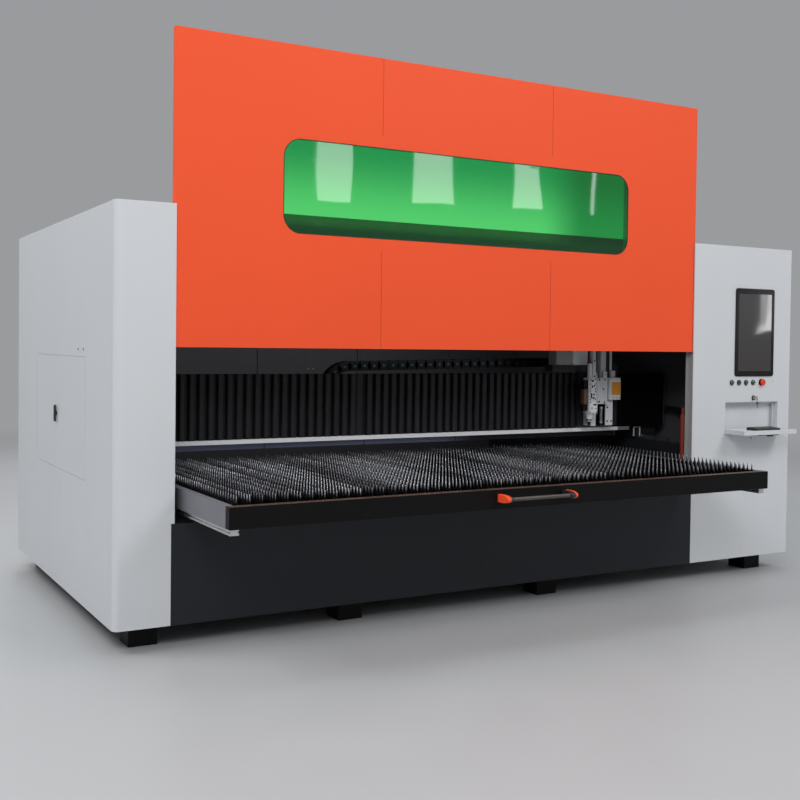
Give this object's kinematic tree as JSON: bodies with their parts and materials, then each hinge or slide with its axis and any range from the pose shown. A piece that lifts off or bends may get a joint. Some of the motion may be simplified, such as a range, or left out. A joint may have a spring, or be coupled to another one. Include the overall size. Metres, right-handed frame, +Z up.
{
  "type": "fiber laser cutting machine",
  "caption": "Enclosed flatbed laser cutter with a lifting front door, a pull-out toothed slat table, a gantry with bellows and cutting head, and a control cabinet.",
  "frame": {"origin": "middle of the bounding box's underside, on the floor", "axes": "+X to the operator's right, +Y into the machine, +Z up"},
  "size_m": [4.2776, 2.8974, 2.7995],
  "materials": {
    "white_coat": "fine textured powder coat, satin",
    "dark_coat": "fine textured powder coat, satin",
    "orange_coat": "powder coat, satin",
    "green_window": "clear-cast green laser safety sheet, glossy",
    "black_metal": "black powder coat, satin",
    "black_plastic": "moulded, matte",
    "bellows_fabric": "coated folded fabric, matte",
    "steel": "ground steel",
    "sheet_steel": "laser cut sheet, unpainted",
    "alloy": "anodised, satin",
    "copper": "brown anodised block",
    "red_plastic": "moulded, glossy",
    "green_plastic": "moulded, glossy",
    "tube_coat": "gloss paint"
  },
  "bodies": {
    "machine": {"tower_front": "white_coat", "tower_side": "white_coat", "cabinet_front": "white_coat", "cabinet_side": "white_coat", "screen": "black_plastic", "roof": "white_coat", "partition": "dark_coat", "back_wall": "dark_coat", "front_panel": "dark_coat", "base_frame_front": "black_metal", "base_frame_rear": "black_metal", "bed_left": "dark_coat", "bed_right": "dark_coat", "slag_tray": "dark_coat", "y_rail_left": "steel", "y_rail_right": "steel", "door_guide_left": "steel", "door_guide_right": "steel", "door_cylinder": "tube_coat"},
    "door": {"door_skin": "orange_coat", "door_window": "green_window", "door_frame": "steel"},
    "table": {"table_frame": "sheet_steel", "table_front_beam": "black_metal", "slat_bed": "sheet_steel", "table_handle": "orange_coat", "table_rail_left": "steel", "table_rail_right": "steel"},
    "gantry": {"gantry_beam": "dark_coat", "gantry_end_left": "dark_coat", "gantry_end_right": "dark_coat", "x_rail_upper": "steel", "x_rail_lower": "steel", "gantry_cover": "white_coat", "bellows_left": "bellows_fabric", "bellows_right": "bellows_fabric"},
    "x_chain_slide": {"x_chain": "black_plastic"},
    "y_chain_slide": {"y_chain": "black_plastic"},
    "carriage": {"carriage_plate": "dark_coat", "cable_box": "alloy", "gas_box": "white_coat", "z_axis_body": "alloy", "z_motor": "white_coat", "sensor_box": "alloy"},
    "head": {"head_plate": "steel", "laser_head": "alloy", "nozzle": "steel", "fibre_connector": "steel", "valve_block": "copper"},
    "service_front": {"service_door_front": "white_coat"},
    "service_rear": {"service_door_rear": "white_coat"},
    "service_latch": {"service_handle": "black_plastic"},
    "tray": {"keyboard_tray": "white_coat", "keyboard": "black_plastic"},
    "stop": {"stop_button": "red_plastic"},
    "key": {"lock_key": "steel"},
    "press_1": {"button_1": "green_plastic"},
    "press_2": {"button_2": "green_plastic"},
    "press_3": {"button_3": "green_plastic"},
    "press_4": {"button_4": "green_plastic"}
  },
  "joints": [
    {"name": "table_slide", "type": "slide", "parent": "machine", "child": "table", "axis": [0, 1, 0], "range_m": [0, 0.9]},
    {"name": "door_slide", "type": "slide", "parent": "machine", "child": "door", "axis": [0, 0, -1], "range_m": [0, 0.794]},
    {"name": "gantry_slide", "type": "slide", "parent": "machine", "child": "gantry", "axis": [0, 1, 0], "range_m": [0, 1.34], "deforming": ["y_chain"]},
    {"name": "y_chain_follow", "type": "slide", "parent": "gantry", "child": "y_chain_slide", "axis": [0, 1, 0], "range_m": [-0.67, 0]},
    {"name": "carriage_slide", "type": "slide", "parent": "gantry", "child": "carriage", "axis": [1, 0, 0], "range_m": [-2.45, 0], "deforming": ["x_chain", "bellows_left", "bellows_right"]},
    {"name": "x_chain_follow", "type": "slide", "parent": "gantry", "child": "x_chain_slide", "axis": [1, 0, 0], "range_m": [-1.225, 0]},
    {"name": "head_slide", "type": "slide", "parent": "carriage", "child": "head", "axis": [0, 0, -1], "range_m": [0, 0.12]},
    {"name": "service_front_hinge", "type": "hinge", "parent": "machine", "child": "service_front", "pos_m": [-2.12275, -0.23985, 1], "axis": [0, 0, 1], "range_deg": [0, 110]},
    {"name": "service_rear_hinge", "type": "hinge", "parent": "machine", "child": "service_rear", "pos_m": [-2.12275, 0.88115, 1], "axis": [0, 0, -1], "range_deg": [0, 110]},
    {"name": "service_latch_turn", "type": "hinge", "parent": "service_front", "child": "service_latch", "pos_m": [-2.12275, 0.37665, 1.002], "axis": [1, 0, 0], "range_deg": [0, 90]},
    {"name": "tray_hinge", "type": "hinge", "parent": "machine", "child": "tray", "pos_m": [1.58525, -0.74535, 0.88], "axis": [-1, 0, 0], "range_deg": [0, 90]},
    {"name": "stop_press", "type": "slide", "parent": "machine", "child": "stop", "axis": [0, 1, 0], "range_m": [0, 0.005], "stiffness_N_per_m": 800},
    {"name": "key_turn", "type": "hinge", "parent": "machine", "child": "key", "pos_m": [1.82325, -0.75835, 1.082], "axis": [0, 1, 0], "range_deg": [0, 90]},
    {"name": "button_1_press", "type": "slide", "parent": "machine", "child": "press_1", "axis": [0, 1, 0], "range_m": [0, 0.003], "stiffness_N_per_m": 500},
    {"name": "button_2_press", "type": "slide", "parent": "machine", "child": "press_2", "axis": [0, 1, 0], "range_m": [0, 0.003], "stiffness_N_per_m": 500},
    {"name": "button_3_press", "type": "slide", "parent": "machine", "child": "press_3", "axis": [0, 1, 0], "range_m": [0, 0.003], "stiffness_N_per_m": 500},
    {"name": "button_4_press", "type": "slide", "parent": "machine", "child": "press_4", "axis": [0, 1, 0], "range_m": [0, 0.003], "stiffness_N_per_m": 500}
  ],
  "couplings": [
    {"joint": "door_slide", "follows": "table_slide", "ratio": 0.88222},
    {"joint": "y_chain_follow", "follows": "gantry_slide", "ratio": -0.5},
    {"joint": "x_chain_follow", "follows": "carriage_slide", "ratio": 0.5}
  ]
}
